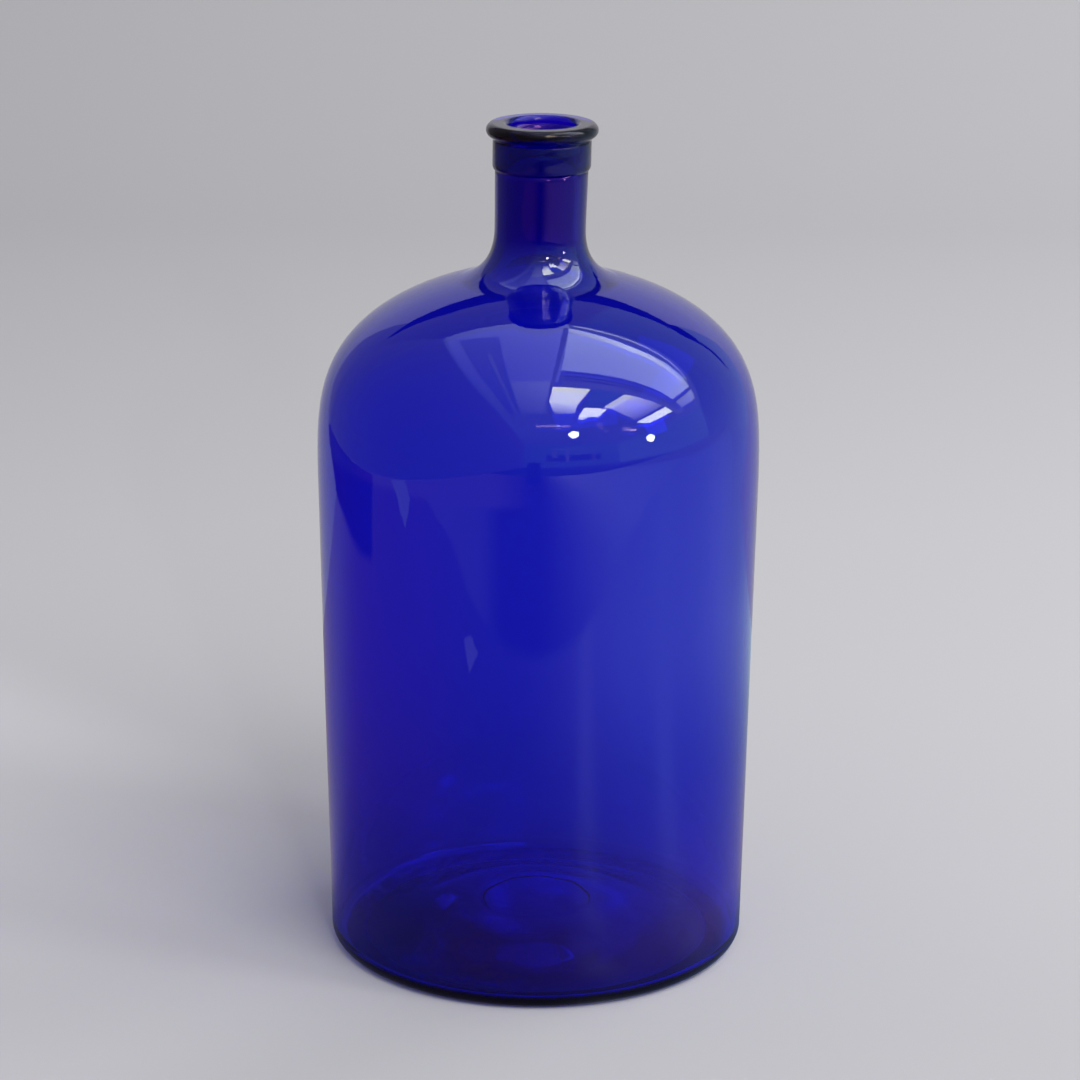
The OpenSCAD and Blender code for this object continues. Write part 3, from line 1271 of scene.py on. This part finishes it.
@dataclass
class MirroredRoom:
    """The studio's room as the glass mirrors it: ceiling windows, beam, blind, lamps and floor."""

    left: float = -1.15
    right: float = 8.0
    front: float = -9.0
    back: float = 1.1
    table_front: float = -0.57
    paper_top: float = 1.18
    paper_half: float = 0.69
    floor_z: float = -0.002
    floor_steps: int = 150
    near_right: float = 2.4
    near_front: float = -2.6

    @property
    def plan(self) -> list[Point]:
        """Corners of the room: back left, back right, front right and front left."""
        back, front = ([(x, y) for x in (self.left, self.right)] for y in (self.back, self.front))
        return back + front[::-1]

    def ceiling(self) -> list[Card]:
        """Pale ceiling with its beam, blind, curtain and daylight panels.

        Returns:
            The cards.
        """
        rows = [(0, "#dcebff", (0.7, 0.9, 0.6, 0.4), *self.plan), *CEILING_PANELS]
        slats = (0.25, 0.4, 0.4, 0.25)
        rows += [
            (3, PLAIN, slats, (0.36, y), (5.5, y), (5.5, y - 0.05), (0.36, y - 0.05))
            for y in (-0.42, -0.54, -0.67)
        ]
        beam, half, edge = ((0.27, 0.95), (0.2, -1.0), (0.15, -2.4)), 0.028, (0.6, 0.6, 0.8, 0.8)
        rows += [
            (4, PLAIN, edge, (x0 - half, y0), (x0 + half, y0), (x1 + half, y1), (x1 - half, y1))
            for (x0, y0), (x1, y1) in zip(beam, beam[1:])
        ]
        spots = ((0.8, -4.3), (2.3, -3.5), (2.5, -3.8), (2.8, -4.1), (3.4, -4.6))
        spot = ((-0.12, 0.1), (0.12, 0.1), (0.14, -0.1), (-0.1, -0.1))
        rows += [(3, PINK, [1.7] * 4, *((x + dx, y + dy) for dx, dy in spot)) for x, y in spots]
        return [Card.overhead(layer, tint, levels, place) for layer, tint, levels, *place in rows]

    def walls(self) -> list[Card]:
        """Walls of the room, with the shelves at its far end and the paper's back roll.

        Returns:
            The cards.
        """
        full, upright, half = (0.0, CEILING_Z), Card.standing, self.paper_half
        back_left, back_right, front_right, front_left = self.plan
        corner = (0.4, self.back)
        cards = [
            upright(front_left, back_left, full, (0.3, 0.2, 0.42, 0.42), WHITE),
            upright(front_left, front_right, full, (0.45, 0.7, 0.9, 0.55), "#bff0ff"),
            upright(front_right, back_right, full, (1.0, 1.05, 1.1, 1.0), "#c8f2ff"),
            upright(back_left, corner, full, (0.27, 0.4, 0.35, 0.27), WHITE),
            upright(corner, back_right, full, (0.7, 0.8, 0.75, 0.45), "#d4ecff"),
        ]
        cove = [(0.45, 0.0), (0.62, 0.06), (0.82, 0.24), (1.0, 0.6)]
        cove.append((self.back - 0.01, self.paper_top))
        shades = [0.5, 0.5, 0.55, 0.75, 0.8]
        for (y0, z0), (y1, z1), low, high in zip(cove, cove[1:], shades, shades[1:]):
            levels = (low * 0.85, low * 1.1, high * 1.1, high * 0.85)
            corners = [(-half, y0, z0), (half, y0, z0), (half, y1, z1), (-half, y1, z1)]
            cards.append(Card(corners, levels, "#f0eef8"))
        curtain = [
            (-0.95, 1.10, 0.03),
            (-0.55, 1.13, 0.24),
            (-0.2, 1.15, 0.26),
            (0.2, 1.14, 0.24),
            (0.5, 1.10, 0.2),
            (0.9, 0.95, 0.2),
            (1.1, 0.55, 0.12),
        ]
        y = self.back - 0.02
        for (x0, z0, h0), (x1, z1, h1) in zip(curtain, curtain[1:]):
            corners = [(x0, y, z0), (x1, y, z1), (x1, y, z1 + h1), (x0, y, z0 + h0)]
            cards.append(Card(corners, [0.02] * 4, WHITE))
        y = self.front + 0.02
        for x0, x1, low, high, level in (
            (0.6, 5.6, 0.55, 1.15, 0.22),
            (1.1, 1.5, 0.9, 1.6, 0.65),
            (2.2, 2.5, 0.5, 1.7, 0.75),
            (3.0, 4.4, 1.2, 1.3, 0.8),
            (4.6, 5.0, 0.4, 1.5, 0.6),
            (0.9, 5.4, 1.75, 1.82, 1.1),
        ):
            cards.append(upright((x0, y), (x1, y), (low, high), [level] * 4, COOL))
            y += 0.01
        stand = upright((-0.17, -1.7), (0.03, -1.7), (0.0, 0.3), (0.04, 0.04, 0.09, 0.09), WHITE)
        return [*cards, stand]

    def floor_level(self, x: float, y: float) -> Place:
        """Brightness of the floor as the glass sees it.

        The paper has a slight sheen, so it is brighter towards the window on the right and has a
        pale streak under each lamp. The bottle's shadow is painted on it close round the foot.

        Args:
            x: Place across.
            y: Place along.

        Returns:
            Red, green and blue.
        """
        azimuth = math.degrees(math.atan2(x, -y))
        reach = math.hypot(x, y)
        # How far a place lies to the window's side, left, behind, past the paper and by the foot
        side = ease(azimuth, -12.0, 66.0)
        left = 1 - ease(azimuth, -60.0, -20.0)
        behind = (1 - ease(azimuth, -125.0, -98.0)) * (1 - ease(reach, 0.7, 1.2))
        beyond = ease(reach, 0.96, 1.06) * (1 - ease(azimuth, -25.0, 0.0))
        near = 1 - ease(reach, 0.15, 0.4)
        close = near * ease(reach, 0.1, 0.15)

        # Sheen of the paper with a streak under each lamp, then what lies past its edges
        level = 0.12 + 0.26 * side + 0.26 * bell(azimuth - 23, 4) + 0.24 * bell(azimuth - 64, 6)
        # Painted shadow of the bottle on the floor close round it
        level *= 0.55 + 0.45 * ease(reach, 0.12, 0.4)
        level += (0.9 - level) * 0.75 * ease(reach, 0.3, 0.6) * side
        level -= 0.22 * ease(azimuth, 100.0, 125.0) * ease(reach, 0.4, 0.7)
        if y < self.table_front:
            level = 0.05 + 0.83 * ease(x, -0.04, 0.7) + 0.19 * ease(-azimuth, 16.0, 30.0)
        level += (0.22 - level) * behind
        level += (0.24 - 0.08 * ease(-azimuth, 88.0, 135.0) - level) * beyond
        level += (0.04 + 0.04 * side) * close
        # Painted shadow under the foot, on the window's side
        level *= 1 - 0.5 * side * (1 - ease(reach, 0.08, 0.16))

        # Warmth on top of the level, and the window's cool light
        warm = (0.03 + 0.09 * left) * (1 - 0.6 * behind) * (1 - near)
        warm += (0.1 + 0.12 * side * (1 - ease(azimuth, 70.0, 100.0)) - 0.07 * left) * close
        if x < -self.paper_half and y > 0.0:
            level, warm = 0.02 + 0.03 * beyond, 0.03
        warm += (0.14 - 0.12 * ease(-azimuth, 85.0, 115.0) - warm) * beyond
        cool = 0.5 * side * (1 - ease(azimuth, 95.0, 125.0)) * (1 - beyond)
        return level * (1 - 0.25 * side) + warm, level, level * (1 + cool) + 0.08

    def floor(self, stack: CardStack) -> None:
        """Lay the floor as a fine net, brightest where the paper has its sheen.

        Args:
            stack: The stack that the floor is laid in.
        """
        steps, low = self.floor_steps, self.floor_z
        for i, j in grid(steps, steps):
            x = self.left + (self.near_right - self.left) * i / steps
            y = self.near_front + (self.back - self.near_front) * j / steps
            stack.vertices.append((x, y, low))
            stack.glows.append((*self.floor_level(x, y), 1.0))
        stack.net(steps, steps)
        for x0, x1, y0, y1, levels in (
            (self.left, self.right, self.front, self.near_front, (0.1, 0.6, 0.6, 0.1)),
            (self.near_right, self.right, self.near_front, self.back, (0.8, 0.8, 0.8, 0.8)),
        ):
            corners = [(x0, y0, low), (x1, y0, low), (x1, y1, low), (x0, y1, low)]
            stack.lay(Card(corners, levels, "#dcebff"))
        for sheet in (
            ((-1.11, -0.25), (-1.14, -0.45), (-0.86, -0.40), (-0.71, -0.29)),
            ((-0.335, -0.47), (-0.31, -0.50), (-0.265, -0.49), (-0.28, -0.44)),
        ):
            stack.lay(Card([(x, y, 0.001) for x, y in sheet], [0.62] * 4, WHITE))

    def build(self) -> None:
        """Make the ceiling, which is also seen through the glass, and all the rest."""
        above = CardStack("mirrored_ceiling", seen_through=True, gain=1.25)
        above.lay(*self.ceiling())
        above.build()
        around = CardStack("mirrored_walls")
        around.lay(*self.walls())
        self.floor(around)
        around.lamp(18.5, 19.5, 4.0)
        around.lamp(59.5, 8.5, 4.5)
        around.build()


# ---------------------------------------------------------------- studio


@dataclass(frozen=True)
class SoftLight:
    """Plain soft light, whose picture in the glass is left to the mirrored room."""

    name: str
    place: Place
    size: Point
    watts: float
    aim: Place = (0.0, 0.0, 0.15)
    seen_through: bool = True

    def build(self) -> bpy.types.Object:
        """Hang the light and aim it at the bottle.

        Returns:
            The lamp.
        """
        data = bpy.data.lights.new(self.name, "AREA")
        data.shape = "RECTANGLE"
        data.size, data.size_y = self.size
        data.energy = self.watts
        lamp = placed(self.name, data)
        lamp.location = self.place
        toward = Vector(self.aim) - Vector(self.place)
        lamp.rotation_euler = toward.to_track_quat("-Z", "Y").to_euler()
        lamp.visible_camera = False
        lamp.visible_glossy = False
        lamp.visible_transmission = self.seen_through
        return lamp


@dataclass(frozen=True)
class SeamlessPaper:
    """Matt seamless paper, under the light that the glass gathers and spills on it.

    It is darkest in front and at the left, where the lamps reach it least.
    """

    name: str = "seamless_paper"
    tint: str = "#c2c1c5"
    along: Point = (-1.0, 3.0)
    along_levels: Sequence[Point] = (
        (0.0, 0.7),
        (0.13, 0.79),
        (0.18, 0.86),
        (0.22, 0.885),
        (0.26, 0.94),
        (0.34, 1.0),
        (0.42, 1.03),
        (0.6, 1.02),
        (0.9, 0.94),
    )
    across: Point = (-0.8, 0.8)
    across_levels: Sequence[Point] = ((0.0, 0.95), (0.5, 0.99), (1.0, 1.04))
    foot_mm: Point = (92.0, 100.0)
    under_mm: Point = (-60.0, 50.0)
    under_levels: Point = (0.7, 3.5)
    spill_mm: float = 60.0
    spill_slant: float = 1.5
    spill_level: float = 1.13

    def build(self) -> bpy.types.Material:
        """Build the material.

        Returns:
            The paper.
        """
        material = bpy.data.materials.new(self.name)
        add = partial(add_node, bare_tree(material))
        place = add("ShaderNodeTexCoord").outputs["Object"]
        x, y, _ = add("ShaderNodeSeparateXYZ", [place]).outputs
        # The lamps' reach over the paper
        layers = []
        for axis, ends, levels in (
            (y, self.along, self.along_levels),
            (x, self.across, self.across_levels),
        ):
            share = add(RANGE, [axis, *ends])
            stops = [(stop, grey(level)) for stop, level in levels]
            layers.append(add("ShaderNodeValToRGB", [share], stops))

        # Light that the glass gathers under the foot, and spills beside it
        smooth = {"interpolation_type": "SMOOTHSTEP"}
        radius = add(VECTOR, [place], operation="LENGTH")
        start, end = (edge * MM for edge in self.under_mm)
        under = add(RANGE, [y, start, end, *self.under_levels])
        start, end = (edge * MM for edge in self.foot_mm)
        gathered = add(RANGE, [radius, start, end, under, 1.0], **smooth)
        right = add(MATH, [x, self.spill_slant], operation="MULTIPLY")
        right = add(MATH, [radius, right], operation="ADD")
        spill = [right, -self.spill_mm * MM, self.spill_mm * MM, self.spill_level, 1.0]
        spilt = add(RANGE, spill, **smooth)
        layers.append(add(MATH, [gathered, spilt], operation="MULTIPLY"))

        colour = linear(self.tint)
        for layer in layers:
            blend = {"Factor": 1.0, "A": colour, "B": layer}
            colour = add("ShaderNodeMix", blend, data_type="RGBA", blend_type="MULTIPLY")
        surface = add("ShaderNodeBsdfDiffuse", {"Color": colour})
        add("ShaderNodeOutputMaterial", {"Surface": surface})
        return material


@dataclass
class Studio:
    """Plain pale sweep of paper with soft light on it."""

    half_width: float = 4.2
    front: float = -4.2
    back: float = 2.9
    bend: float = 1.3
    height: float = 4.4
    rows: int = 24
    ambient: float = 0.48

    def paper_sweep(self) -> bpy.types.Object:
        """Paper sweep: the floor, a bend and the wall behind.

        Returns:
            The sweep's object.
        """
        start = self.back - self.bend
        turns = [math.pi / 2 * i / self.rows for i in range(self.rows + 1)]
        line = [
            (self.front, 0.0),
            *((start + self.bend * math.sin(t), self.bend * (1 - math.cos(t))) for t in turns),
            (self.back, self.height),
        ]
        vertices = [(x, y, z) for y, z in line for x in (-self.half_width, self.half_width)]
        faces = [(2 * i, 2 * i + 1, 2 * i + 3, 2 * i + 2) for i in range(len(line) - 1)]
        mesh = bpy.data.meshes.new("paper_sweep")
        mesh.from_pydata(vertices, [], faces)
        mesh.shade_smooth()
        mesh.materials.append(SeamlessPaper().build())
        sheet = placed("paper_sweep", mesh)
        sheet.visible_glossy = False
        return sheet

    def world(self) -> None:
        """Even grey room."""
        world = bpy.data.worlds.new("room")
        add = partial(add_node, bare_tree(world))
        glow = {"Color": grey(1.0), "Strength": self.ambient}
        back = add("ShaderNodeBackground", glow)
        add("ShaderNodeOutputWorld", {"Surface": back})
        bpy.context.scene.world = world

    def build(self) -> None:
        """Set up the whole studio."""
        self.paper_sweep()
        for light in (
            SoftLight("key_panels", (1.05, -1.9, 2.4), (1.7, 1.8), 48.0),
            SoftLight("ceiling_panel", (2.0, 0.2, 2.4), (3.4, 1.2), 36.0),
            SoftLight("far_panel", (4.7, -2.0, 2.4), (1.2, 2.0), 70.0),
            SoftLight("round_lamp", (0.55, -2.84, 1.2), (0.1, 0.1), 8.0, seen_through=False),
        ):
            light.build()
        self.world()
        MirroredRoom().build()


@dataclass
class Viewpoint:
    """Camera at the height and distance that the bottle is seen from."""

    focal_px: float = 3682.0
    pitch_deg: float = 17.2
    distance_mm: float = 1753.0
    aim_mm: Place = (1.02, 0.0, 198.9)
    roll_deg: float = 0.31
    sensor_mm: float = 36.0

    def build(self) -> bpy.types.Object:
        """Make the camera and use it.

        Returns:
            The camera.
        """
        data = bpy.data.cameras.new("camera")
        data.sensor_width = self.sensor_mm
        data.lens = self.focal_px / IMAGE_SIDE_PX * self.sensor_mm
        pitch, reach = math.radians(self.pitch_deg), self.distance_mm * MM
        back = Vector((0, -reach * math.cos(pitch), reach * math.sin(pitch)))
        camera = placed("camera", data)
        camera.location = Vector(self.aim_mm) * MM + back
        camera.rotation_euler = (math.pi / 2 - pitch, 0, 0)
        camera.rotation_euler.rotate_axis("Z", math.radians(self.roll_deg))
        bpy.context.scene.camera = camera
        return camera


# ---------------------------------------------------------------- assembly


def main() -> None:
    """Build the studio, the camera and the bottle."""
    logging.basicConfig(level=logging.INFO, format="%(name)s: %(message)s")
    scene = bpy.context.scene
    scene.view_settings.view_transform = "Standard"
    # Light crosses eight walls of glass and more on its way through the bottle
    scene.cycles.max_bounces = 24
    scene.cycles.transmission_bounces = 24
    scene.cycles.glossy_bounces = 12
    Viewpoint().build()
    Studio().build()
    sizes = BottleSizes()
    GatheredLight(sizes).build()
    lathe = Lathe()
    wall_glass = CobaltGlass("mouth_blown_cobalt_glass").build()
    lip_glass = CobaltGlass(
        "tooled_cobalt_glass",
        pass_colour=(0.6, 0.3, 0.965),
        ripple_mm=9.0,
        thick_tint="#a090e6",
        # Painted reflection: warm tint of the collar's and lip's reflections
        smoked_shine="#b4a4bc",
    ).build()
    BlownVessel(sizes, lathe, wall_glass).build()
    finish = TooledFinish(sizes, lathe, lip_glass)
    finish.collar()
    finish.lip()
    PontilScar(sizes, Lathe(ream_mm=9.0, ream_size_mm=24.0), wall_glass).build()


if __name__ == "__main__":
    main()
